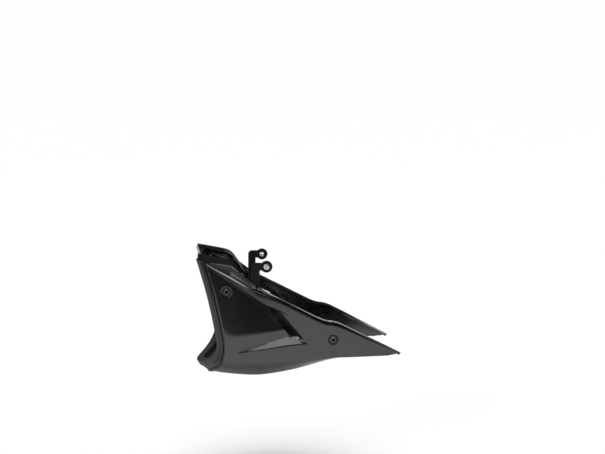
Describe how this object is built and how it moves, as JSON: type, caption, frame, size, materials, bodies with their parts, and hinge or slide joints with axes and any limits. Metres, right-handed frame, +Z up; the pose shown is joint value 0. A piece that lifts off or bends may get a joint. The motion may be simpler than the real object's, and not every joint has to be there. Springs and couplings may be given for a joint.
{
  "type": "motorcycle belly pan",
  "caption": "Black belly pan with a U-shaped nose, faceted side panels with vents and steel brackets that bolt to the engine.",
  "frame": {"origin": "under the middle of the pan's length and width, at the lowest point of the keel", "axes": "+X to the motorcycle's rear, +Y to its right, +Z up"},
  "size_m": [0.365, 0.2894, 0.229],
  "materials": {
    "panel_plastic": "satin moulded black plastic",
    "nose_plastic": "satin moulded black plastic",
    "bracket_steel": "black powder coat",
    "rubber": "matt black rubber",
    "zinc_steel": "zinc plated",
    "black_screw": "black oxide",
    "silver_bolt": "bright zinc plated"
  },
  "bodies": {
    "root": {"left_side_panel": "panel_plastic", "right_side_panel": "panel_plastic", "nose_piece": "nose_plastic", "left_front_bracket": "bracket_steel", "left_rear_bracket": "bracket_steel", "right_front_bracket": "bracket_steel", "right_rear_bracket": "bracket_steel", "left_front_grommet": "rubber", "left_rear_grommet": "rubber", "right_front_grommet": "rubber", "right_rear_grommet": "rubber", "left_front_bush": "zinc_steel", "left_rear_bush": "zinc_steel", "right_front_bush": "zinc_steel", "right_rear_bush": "zinc_steel", "left_front_panel_screw": "black_screw", "left_rear_panel_screw": "black_screw", "right_front_panel_screw": "black_screw", "right_rear_panel_screw": "black_screw", "left_front_rivet_nut": "zinc_steel", "left_rear_rivet_nut": "zinc_steel", "right_front_rivet_nut": "zinc_steel", "right_rear_rivet_nut": "zinc_steel", "left_front_bracket_bolt": "silver_bolt", "left_rear_bracket_bolt": "silver_bolt", "right_front_bracket_bolt": "silver_bolt", "right_rear_bracket_bolt": "silver_bolt", "seam_screws": "black_screw", "seam_nuts": "zinc_steel", "chin_rivets": "nose_plastic"}
  },
  "joints": []
}
